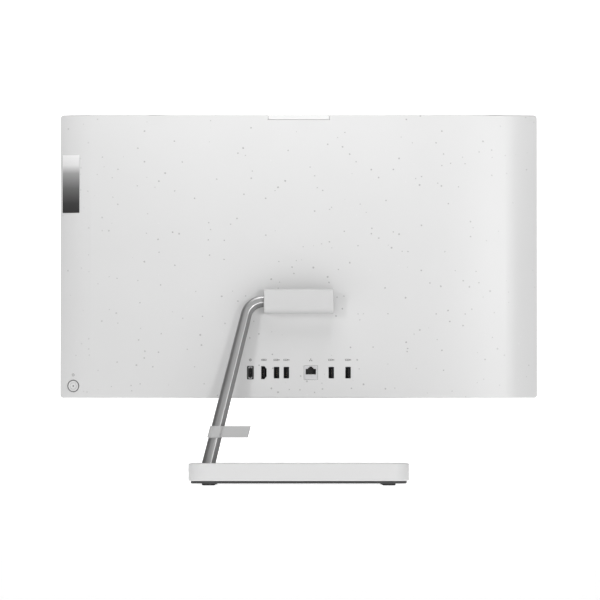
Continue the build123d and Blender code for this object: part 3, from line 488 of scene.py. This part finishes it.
def lens_glass():
    """Coated lens: dark, very smooth, with a faint violet bloom in small patches."""
    finish = Finish("coated_lens", IOR=1.6, Coat_Roughness=0.03)
    bloom = finish.noise(finish.place(), 900, 1.0)
    return finish.feed(Base_Color=finish.mix(bloom, (0.004, 0.004, 0.008), (0.02, 0.012, 0.04)),
                       Roughness=0.04 + 0.03 * bloom, Coat_Weight=0.6 + 0.4 * bloom)


screen = screen_film()
foot_rubber = rubber()
board_green = circuit_board()
grey_ink = ink("printed_grey_ink", 0.12)
lens = lens_glass()
light_dark = moulded("light_lens_plastic", 0.02, rough=0.2, grain=600)
print("other finishes:", screen.name, foot_rubber.name, board_green.name, grey_ink.name)

# %% [markdown]
# ## Dress the frame
# Each part of the frame already has the right shape, so it only needs its finish. A part stays where it is:
# only its material slots change.

# %% Give every part its finish
dress = {
    white_flecked: ["rear_cover"],
    white_plain: ["front_frame", "chin_panel", "camera_rear_cover", "camera_shutter"],
    white_hinge: ["hinge_cover"],
    white_base: ["base_cover"],
    grey_clip: ["cable_clip"],
    button_white: ["power_button"],
    light_dark: ["power_light"],
    ring_metal: ["power_button_ring"],
    badge_finish: ["badge"],
    arm_metal: ["arm"],
    black_skirt: ["base_bottom_plate"],
    foot_rubber: ["base_feet"],
    black_gloss: ["screen_bezel"],
    screen: ["lcd_screen"],
    tray_white: ["backlight_tray"],
    socket_painted_dark: ["usb_port_1", "usb_port_2", "usb_port_3", "usb_port_4", "hdmi_port"],
    socket_steel: ["ethernet_port"],
    inlet_dark: ["power_inlet"],
    black_part: ["audio_jack", "camera_module", "blower_housing", "blower_impeller", "memory_sockets",
                 "speaker_left", "speaker_right"],
    board_green: ["motherboard", "memory_modules", "solid_state_drive", "wireless_card", "button_board",
                  "panel_drive_board"],
    copper: ["cooling_plate", "heat_pipe"],
    fin_metal: ["fin_stack", "hard_drive"],
    cell_steel: ["processor", "clock_cell"],
    screw_steel: ["base_screws", "stand_screw", "arm_foot_screws", "board_screws", "board_standoffs",
                  "hinge_bracket_screws", "lock_nut", "friction_washers", "hinge_shaft"],
    sheet_steel: ["base_weight", "arm_foot_plate", "chassis_plate", "lcd_side_brackets", "drive_caddy",
                  "hinge_bracket"],
    cable_grey: ["display_cable"],
}
dressed = 0
for finish, names in dress.items():
    for name in names:
        part = frame["nodes"][name]
        part.data.materials.clear()
        part.data.materials.append(finish)
        dressed += 1
print("dressed", dressed, "of", len(frame["nodes"]), "parts")

# %% [markdown]
# ## The arm
# The real arm is one extruded bar, bent and brushed. A bar like this is modelled as it is made: draw the
# section, push it down to make the leg, and spin its top edge round the bend's centre. The leg is modelled
# upright, then the whole arm is turned to its real place. Before it turns, every point writes down how far
# along the bar it lies, so that the brushing can follow the bend.

# %% Measures of the arm
base_top = corners("base_cover")[1].z
LEAN_BACK = 34 * MM                      # how far the foot lies behind the pivot
CORNER_X = 55.5 * MM                     # where the leg's line meets the stub's line
FOOT_X = 100.9 * MM                      # middle of the leg at the base's top
BEND_R, OUTER_R = 20.3 * MM, 4.0 * MM
BAR_DEPTH, BAR_TOP, BAR_FOOT = 2 * ARM_HALF_D, 2 * ARM_HALF_W, 15.1 * MM
drop = math.hypot(LEAN_BACK, pivot.z - base_top)
lean = math.atan(LEAN_BACK / (pivot.z - base_top))
spread = math.atan((FOOT_X - CORNER_X) / drop)
turn = math.radians(90) - spread
reach = BEND_R * math.tan(turn / 2)
leg_length = drop / math.cos(spread) - reach + 9 * MM
print("arm: lean", round(math.degrees(lean), 1), "spread", round(math.degrees(spread), 1), "degrees")

# %% Draw the section and pull it into a bar
arm = add(bpy.ops.mesh.primitive_plane_add, "arm_bar", size=1)
bpy.ops.mesh.select_all(action="SELECT")
bpy.ops.transform.resize(value=(BAR_TOP, BAR_DEPTH, 1))
pick("VERT", lambda middle, point: not (middle.x < 0 and middle.y > 0))
bpy.ops.mesh.bevel(offset=OUTER_R, segments=9, affect="VERTICES")
pick("VERT", lambda middle, point: middle.x < -0.4 * BAR_TOP and middle.y > 0.49 * BAR_DEPTH)
bpy.ops.mesh.bevel(offset=FACET, segments=1, affect="VERTICES")
facet_foot = 0.5 * BAR_DEPTH - FACET - 0.1 * MM
pick("VERT", lambda middle, point: middle.x < -0.15 * BAR_TOP and middle.y > facet_foot)
bpy.ops.mesh.bevel(offset=0.45 * MM, segments=3, affect="VERTICES")
bpy.ops.mesh.select_mode(type="FACE")
bpy.ops.mesh.select_all(action="SELECT")
bpy.ops.mesh.extrude_region_move(TRANSFORM_OT_translate={"value": (0, 0, -leg_length)})
pick("VERT", lambda middle, point: middle.z < -0.5 * leg_length)
bpy.ops.transform.resize(value=(BAR_FOOT / BAR_TOP, 1, 1))
pick("EDGE", lambda middle, edge: all(abs(point.co.z) < 1e-6 for point in edge.verts))
bpy.ops.mesh.spin(steps=28, angle=turn, center=(-BEND_R, 0, 0), axis=(0, 1, 0))
print("bar:", len(arm.data.vertices), "points before the ends are closed")

# %% Close the ends and sink a shallow pocket in the hinge end
pick("EDGE", lambda middle, edge: edge.is_boundary)
bpy.ops.mesh.edge_face_add()
pick("FACE", lambda middle, face: len(face.verts) > 8 and middle.z > 0)
bpy.ops.mesh.inset(thickness=0.4 * MM, depth=0)
bpy.ops.mesh.inset(thickness=2.6 * MM, depth=0)
bpy.ops.mesh.extrude_region_move()
bpy.ops.mesh.inset(thickness=0, depth=3 * MM)
bpy.ops.object.mode_set(mode="OBJECT")
print("arm mesh:", len(arm.data.polygons), "faces")

# %% Write the grain, then turn the arm to its place
grain = arm.data.attributes.new("grain", "FLOAT_VECTOR", "POINT")
for point, mark in zip(arm.data.vertices, grain.data):
    x, y, z = point.co
    widening = 1 - (BAR_FOOT / BAR_TOP - 1) * min(z, 0) / leg_length
    angle = math.atan2(z, x + BEND_R) if z > 0 else 0.0
    mark.vector = (math.hypot(x + BEND_R, z) - BEND_R, y, BEND_R * angle) if z > 0 else (x / widening, y, z)
down = Vector((math.sin(spread), 0, -math.cos(spread)))
bend_end = Vector((CORNER_X, pivot.y, pivot.z)) + down * reach
upright = Matrix.Translation(bend_end) @ Matrix.Rotation(-spread, 4, "Y")
about_pivot = Matrix.Translation(pivot) @ Matrix.Rotation(lean, 4, "X") @ Matrix.Translation(-pivot)
bpy.ops.object.mode_set(mode="EDIT")
settle(arm, about_pivot @ upright, smooth=24)
place_piece(arm, "stand", arm_metal)
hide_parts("arm")
low, high = arm.bound_box[0], arm.bound_box[6]
print("arm spans", [round(value * 1000, 1) for value in (*low, *high)])

# %% [markdown]
# ## Things laid on a surface
# Printed marks, a lens and a ring all sit on a face of the housing, part of which is curved. Each is
# modelled flat at the origin, facing up. A ray shot at the finished part finds the surface and its normal,
# and a matrix lays the piece there: its X to the viewer's right, its Y upwards and its Z out of the surface.

# %% Find a place on a surface


def on_surface(node, x, z, from_rear=True, lift=0.0):
    """A matrix that lays something on a part, as seen from the rear or from the front."""
    away = Vector((0, 1, 0)) if from_rear else Vector((0, -1, 0))
    _, point, normal, _ = frame["nodes"][node].ray_cast(Vector((x, 0, z)) + away, -away)
    right = Vector((0, 0, 1)).cross(normal).normalized()
    turn_to = Matrix((right, normal.cross(right), normal)).transposed().to_4x4()
    return Matrix.Translation(point + normal * lift) @ turn_to


def tile(name, width, height, at=(0, 0), thick=0.04 * MM, rounding=0.12 * MM, outline=0):
    """A flat plate with rounded corners that faces up; with an outline it becomes a frame."""
    plate = add(bpy.ops.mesh.primitive_plane_add, name, size=1, location=(*at, 0))
    bpy.ops.mesh.select_all(action="SELECT")
    bpy.ops.transform.resize(value=(width, height, 1))
    bpy.ops.mesh.bevel(offset=rounding, segments=3, affect="VERTICES")
    bpy.ops.mesh.select_mode(type="FACE")
    bpy.ops.mesh.select_all(action="SELECT")
    if outline:
        bpy.ops.mesh.inset(thickness=outline, depth=0)
        bpy.ops.mesh.delete(type="FACE")
        bpy.ops.mesh.select_all(action="SELECT")
    bpy.ops.mesh.extrude_region_move(TRANSFORM_OT_translate={"value": (0, 0, thick)})
    return settle(plate)


def ring(name, radius, width, gap=0.0, thick=0.04 * MM):
    """A flat ring that faces up, with an optional gap at its top."""
    hoop = add(bpy.ops.mesh.primitive_circle_add, name, vertices=48, radius=radius, fill_type="NGON")
    bpy.ops.mesh.select_mode(type="FACE")
    bpy.ops.mesh.select_all(action="SELECT")
    bpy.ops.mesh.inset(thickness=width, depth=0)
    bpy.ops.mesh.delete(type="FACE")
    if gap:
        pick("FACE", lambda middle, face: middle.y > 0 and abs(middle.x) < gap / 2)
        bpy.ops.mesh.delete(type="FACE")
    bpy.ops.mesh.select_mode(type="FACE")
    bpy.ops.mesh.select_all(action="SELECT")
    bpy.ops.mesh.extrude_region_move(TRANSFORM_OT_translate={"value": (0, 0, thick)})
    return settle(hoop)


def lay(piece, place):
    """Press a place into a finished piece's mesh."""
    piece.data.transform(place)
    piece.data.update()
    return piece


print("surface tools ready")

# %% [markdown]
# ## Printed marks
# Above each socket a small grey pictogram is pad-printed: a ring and dot for power, a flat plug for
# video, a plug for the four data sockets, linked boxes for the network. These are plain pictograms drawn
# here, and each is a few thin plates joined into one piece, modelled once and copied along the row.

# %% Draw the pictograms


def data_mark():
    """A plug seen from the side: a body, a cap and two contacts."""
    body = tile("data_mark", 4.6 * MM, 2.0 * MM, (-1.0 * MM, 0), outline=0.45 * MM)
    cap = tile("cap", 2.0 * MM, 1.3 * MM, (2.4 * MM, 0), outline=0.4 * MM)
    dots = [tile("dot", 0.6 * MM, 0.5 * MM, (-0.6 * MM, side * 0.42 * MM)) for side in (-1, 1)]
    return join([body, cap, *dots], "data_mark")


def video_mark():
    """A wide flat plug with rounded corners and a tongue."""
    shell = tile("video_mark", 6.0 * MM, 2.1 * MM, rounding=0.7 * MM, outline=0.5 * MM)
    return join([shell, tile("tongue", 3.4 * MM, 0.5 * MM)], "video_mark")


def network_mark():
    """Three boxes joined by lines."""
    boxes = [tile("box", 1.1 * MM, 0.9 * MM, (x * MM, y * MM))
             for x, y in ((0, 1.0), (-1.2, -1.0), (1.2, -1.0))]
    lines = [tile("line", 0.35 * MM, 1.2 * MM, (0, 0.2 * MM)),
             tile("line", 2.6 * MM, 0.35 * MM, (0, -0.3 * MM))]
    return join(boxes + lines, "network_mark")


def power_in_mark():
    """A ring round a dot."""
    rim, dot = ring("power_in_mark", 1.5 * MM, 0.5 * MM), ring("dot", 0.55 * MM, 0.54 * MM)
    return join([rim, dot], "power_in_mark")


MARK_RISE = 14.4 * MM                    # from the middle of a socket up to its mark
masters = {"data": data_mark(), "video": video_mark(), "network": network_mark(),
           "power_in": power_in_mark()}
row = {"usb_port_1": "data", "usb_port_2": "data", "usb_port_3": "data", "usb_port_4": "data",
       "hdmi_port": "video", "ethernet_port": "network", "power_inlet": "power_in"}
for node, kind in row.items():
    low, high = corners(node)
    spot = on_surface("rear_cover", (low.x + high.x) / 2, (low.z + high.z) / 2 + MARK_RISE)
    mark = copy_of(masters[kind], "mark_over_" + node, spot)
    place_piece(mark, "display", grey_ink)
for master in masters.values():
    bpy.data.objects.remove(master)
print("marks over", len(row), "sockets")

# %% The power mark and the painted shade of the groove in the button
POWER_MARK_RISE = 12.6 * MM              # from the button's middle up to its mark
GROOVE_R = 3.9 * MM
low, high = corners("power_button_ring")
button_x, button_z = (low.x + high.x) / 2, (low.z + high.z) / 2
outward = on_surface("power_light", button_x, button_z).col[2].to_3d()
tip = [point.co for point in frame["nodes"]["power_light"].data.vertices]
reach = max(point.dot(outward) for point in tip)
tip = [point for point in tip if point.dot(outward) > reach - 0.02 * MM]
centre = sum(tip, Vector()) / len(tip)   # where the button's own axis leaves its face
button_x = centre.x
stroke = tile("stroke", 0.42 * MM, 1.5 * MM, (0, 1.0 * MM))
power_mark = join([ring("power_mark", 1.5 * MM, 0.42 * MM, gap=1.3 * MM), stroke], "power_mark")
lay(power_mark, on_surface("rear_cover", button_x, button_z + POWER_MARK_RISE, lift=0.01 * MM))
place_piece(power_mark, "display", grey_ink)
# A thin dark ring laid on the button is painted shade that stands for its groove.
painted_groove_shade = ring("button_groove_painted_shade", GROOVE_R, 0.22 * MM, thick=0.03 * MM)
lay(painted_groove_shade, on_surface("power_button", button_x - 2.4 * MM, button_z))
middle = sum((point.co for point in painted_groove_shade.data.vertices), Vector()) / len(painted_groove_shade.data.vertices)
shift = centre - middle
lay(painted_groove_shade, Matrix.Translation(shift - outward * shift.dot(outward)))
place_piece(painted_groove_shade, "button", ring_metal)
print("power mark at", [round(value * 1000, 1) for value in power_mark.bound_box[0]])

# %% [markdown]
# ## Inside the sockets
# A socket is a dark hole with something bright in it. The network socket's shield is bright metal, but the
# plug's space inside is lined with black plastic: a stepped outline, cut from one plate, drawn inwards and
# given a wall. The data and video sockets get gold contacts on their tongues: one is made by hand and the
# rest are copies of it.

# %% The network socket's black lining
low, high = corners("ethernet_port")
mouth_x, mouth_top = (low.x + high.x) / 2, high.z - 0.9 * MM
STEPS = ((5.8, 2.65), (3.05, 1.25), (1.65, 0.05))     # half widths, and how far below the mouth's top
LINING_DEPTH, LINING_HEIGHT, LINING_WALL = 11.6 * MM, 8.9 * MM, 0.25 * MM
lining = add(bpy.ops.mesh.primitive_plane_add, "network_socket_lining", size=1)
bpy.ops.mesh.select_all(action="SELECT")
bpy.ops.transform.resize(value=(2 * STEPS[0][0] * MM, LINING_HEIGHT, 1))
bpy.ops.transform.translate(value=(0, -STEPS[-1][1] * MM - LINING_HEIGHT / 2, 0))
for half_width, _ in STEPS[1:]:
    for side in (-1, 1):
        bpy.ops.mesh.select_all(action="SELECT")
        bpy.ops.mesh.bisect(plane_co=(side * half_width * MM, 0, 0), plane_no=(1, 0, 0))
for _, drop_down in STEPS[:-1]:
    bpy.ops.mesh.select_all(action="SELECT")
    bpy.ops.mesh.bisect(plane_co=(0, -drop_down * MM, 0), plane_no=(0, 1, 0))


def outside_steps(middle):
    """Whether a point lies beside the stepped opening."""
    return any(abs(middle.x) > half_width * MM and middle.y > -above * MM
               for (half_width, _), (_, above) in zip(STEPS[1:], STEPS[:-1]))


pick("FACE", lambda middle, face: outside_steps(middle))
bpy.ops.mesh.delete(type="FACE")
bpy.ops.mesh.select_mode(type="FACE")
bpy.ops.mesh.select_all(action="SELECT")
bpy.ops.mesh.dissolve_limited(angle_limit=math.radians(1))
bpy.ops.mesh.select_all(action="SELECT")
bpy.ops.mesh.extrude_region_move(TRANSFORM_OT_translate={"value": (0, 0, -LINING_DEPTH)})
pick("FACE", lambda middle, face: middle.z > -0.01 * MM)
bpy.ops.mesh.delete(type="FACE")
settle(lining)
wall = lining.modifiers.new("wall", "SOLIDIFY")
wall.thickness, wall.offset = LINING_WALL, -1
bpy.ops.object.modifier_apply(modifier="wall")
stand_up = Matrix(((-1, 0, 0, mouth_x), (0, 0, 1, high.y - 0.1 * MM), (0, 1, 0, mouth_top), (0, 0, 0, 1)))
lay(lining, stand_up)
place_piece(lining, "display", black_part)
print("lining:", len(lining.data.polygons), "faces")

# %% Gold contacts on the tongues
strip = add(bpy.ops.mesh.primitive_cube_add, "contact", size=1)
bpy.ops.mesh.select_all(action="SELECT")
bpy.ops.transform.resize(value=(0.12 * MM, 6.4 * MM, 1.0 * MM))
pick("EDGE", lambda middle, edge: middle.y > 3.1 * MM and abs(middle.z) < 0.1 * MM)
bpy.ops.mesh.bevel(offset=0.05 * MM, segments=3, affect="EDGES")
settle(strip)
USB_CONTACTS = (-3.4, -1.0, 1.0, 3.4)
VIDEO_CONTACTS = [-3.6 + 0.9 * n for n in range(9)]
CONTACT_Y = 5.6 * MM                     # how far a contact's middle lies inside the mouth
tongues = [("usb_port_%d" % n, USB_CONTACTS, -0.24, 1.0) for n in (1, 2, 3, 4)]
tongues.append(("hdmi_port", VIDEO_CONTACTS, 0.86, 0.45))
for node, heights, side_x, width in tongues:
    low, high = corners(node)
    middle = (low + high) / 2
    spots = [Matrix.Translation((middle.x + side_x * MM, high.y - CONTACT_Y, middle.z + z * MM))
             @ Matrix.Diagonal((1, 1, width, 1)) for z in heights]
    contacts = join([copy_of(strip, "contact", spot) for spot in spots], node + "_contacts")
    place_piece(contacts, "display", gold)
bpy.data.objects.remove(strip)
print("contacts in", len(tongues), "sockets")

# %% Spring clips at the ends of the power inlet
CLIP_OFFSET = 5.4 * MM                   # from the inlet's middle to a clip
low, high = corners("power_inlet")
for side in (-1, 1):
    bar = tile("bar", 3.6 * MM, 0.55 * MM, (0, 1.0 * MM), thick=0.12 * MM, rounding=0.15 * MM)
    legs = [tile("leg", 0.6 * MM, 1.5 * MM, (x * MM, 0.4 * MM), thick=0.12 * MM, rounding=0.15 * MM)
            for x in (-1.6, 1.6)]
    clip = join([bar, *legs], "inlet_clip_upper" if side > 0 else "inlet_clip_lower")
    if side < 0:
        clip.data.transform(Matrix.Rotation(math.radians(180), 4, "Z"))
    spot = on_surface("power_inlet", low.x + 0.5 * MM, (low.z + high.z) / 2)
    spot.translation.x = (low.x + high.x) / 2
    spot.translation.z = (low.z + high.z) / 2 + side * CLIP_OFFSET
    lay(clip, spot)
    place_piece(clip, "display", socket_steel)
print("inlet clips at", round((low.x + high.x) / 2 * 1000, 1))

# %% [markdown]
# ## The camera's lens
# The lens is a small coated dome behind the mask's round window. It starts as a filled circle, and three
# insets that each rise a little less than the last make the dome. The small grey dot beside it is the
# camera's light, switched off.

# %% Lens and camera light
low, high = corners("camera_module")
BARREL_R, LENS_R = 1.4 * MM, 1.3 * MM
LIGHT_X = 7 * MM                         # from the lens to the camera's light
lens_z = low.z + BARREL_R                # the barrel is the module's lowest part
lens_dome = add(bpy.ops.mesh.primitive_circle_add, "camera_lens", vertices=40, radius=LENS_R,
                fill_type="NGON")
bpy.ops.mesh.select_mode(type="FACE")
bpy.ops.mesh.select_all(action="SELECT")
bpy.ops.mesh.extrude_region_move(TRANSFORM_OT_translate={"value": (0, 0, 0.12 * MM)})
for step, rise in ((0.3, 0.16), (0.35, 0.1), (0.35, 0.04)):
    bpy.ops.mesh.inset(thickness=step * MM, depth=rise * MM)
settle(lens_dome, smooth=60)
lens_dome.data.transform(Matrix.Rotation(math.radians(90), 4, "X"))
lay(lens_dome, Matrix.Translation((0, low.y + 0.01 * MM, lens_z)))
place_piece(lens_dome, "display", lens)
camera_light = ring("camera_light", 0.6 * MM, 0.59 * MM, thick=0.05 * MM)
lay(camera_light, on_surface("screen_bezel", LIGHT_X, lens_z, from_rear=False))
place_piece(camera_light, "display", grey_ink)
print("lens at", [round(value * 1000, 1) for value in lens_dome.bound_box[0]])

# %% [markdown]
# ## A plain pale studio
# The floor and the wall are one folded sheet of white card. The wall is on the screen's side only, so no
# horizon shows to a viewer behind the housing. The light comes from that viewer's upper left, wide enough
# for soft edges and narrow enough that the hinge cover throws a readable shadow to the right.

# %% The sweep
FLOOR_SIZE, WALL_HEIGHT = 20.0, 9.0      # the wall stands further off than the camera does
sweep = add(bpy.ops.mesh.primitive_plane_add, "studio_sweep", size=FLOOR_SIZE)
back_y = -FLOOR_SIZE / 2
pick("EDGE", lambda middle, edge: middle.y < -0.45 * FLOOR_SIZE)
bpy.ops.mesh.extrude_region_move(TRANSFORM_OT_translate={"value": (0, 0, WALL_HEIGHT)})
bpy.ops.object.mode_set(mode="OBJECT")
CARD_GLOW, ROOM_GLOW = 0.80, 0.15        # enough for white card to render as white
card = Finish("white_card", Roughness=0.9)
speck = card.noise(card.place(), 30, 2.0)
card.shader.inputs["Emission Color"].default_value = (1, 1, 1, 1)
card.shader.inputs["Emission Strength"].default_value = CARD_GLOW
card.feed(Base_Color=card.mix(speck, 0.80, 0.84))
sweep.data.materials.append(card.material)
print("sweep ready, wall at y =", round(back_y, 2))

# %% Lights
room = bpy.data.worlds.new("pale_room")
room.use_nodes = True
room.node_tree.nodes["Background"].inputs["Color"].default_value = (1, 1, 1, 1)
room.node_tree.nodes["Background"].inputs["Strength"].default_value = ROOM_GLOW
bpy.context.scene.world = room
target = Vector((0, 0, 0.24))


def soft_box(name, direction, distance, size, watts):
    """A square light that faces the middle of the housing."""
    data = bpy.data.lights.new(name, "AREA")
    data.size, data.energy = size, watts
    lamp = bpy.data.objects.new(name, data)
    bpy.context.collection.objects.link(lamp)
    away = Vector(direction).normalized()
    lamp.location = target + away * distance
    lamp.rotation_euler = away.to_track_quat("Z", "Y").to_euler()
    return lamp


key = soft_box("key", (0.545, 1.0, 0.21), 2.0, 0.26, 7.4)
key.visible_glossy = False               # it draws shadows, and leaves no streak on the cover's rolled edge
soft_box("top", (0.0, 0.33, 0.62), 0.70, 0.5, 3.1)
soft_box("side", (-1.0, 0.35, 0.1), 2.0, 1.0, 3.0)
soft_box("band", (-0.32, 1.0, 0.03), 2.4, 0.3, 8.5)
front_fill = soft_box("front_fill", (-0.3, -1.0, 0.35), 2.6, 1.6, 22)
front_fill.visible_glossy = False        # mirrored in the dark screen, it would make it paler

# %% Camera
VIEW_WIDTH = 678 * MM                    # how much fits across the picture at the housing
DISTANCE, EYE_HEIGHT = 6.0, 0.05
aim = Vector((-1.4 * MM, corners("rear_cover")[1].y, 209 * MM))
camera_data = bpy.data.cameras.new("camera")
camera_data.sensor_width = 36
camera_data.angle = 2 * math.atan(VIEW_WIDTH / 2 / DISTANCE)
camera = bpy.data.objects.new("camera", camera_data)
bpy.context.collection.objects.link(camera)
camera.location = (aim.x, aim.y + DISTANCE, EYE_HEIGHT)
camera.rotation_euler = (camera.location - aim).to_track_quat("Z", "Y").to_euler()
bpy.context.scene.camera = camera
bpy.context.scene.view_settings.view_transform = "Standard"
print("camera looks down", round(math.degrees(math.atan2(EYE_HEIGHT - aim.z, DISTANCE)), 2), "degrees")
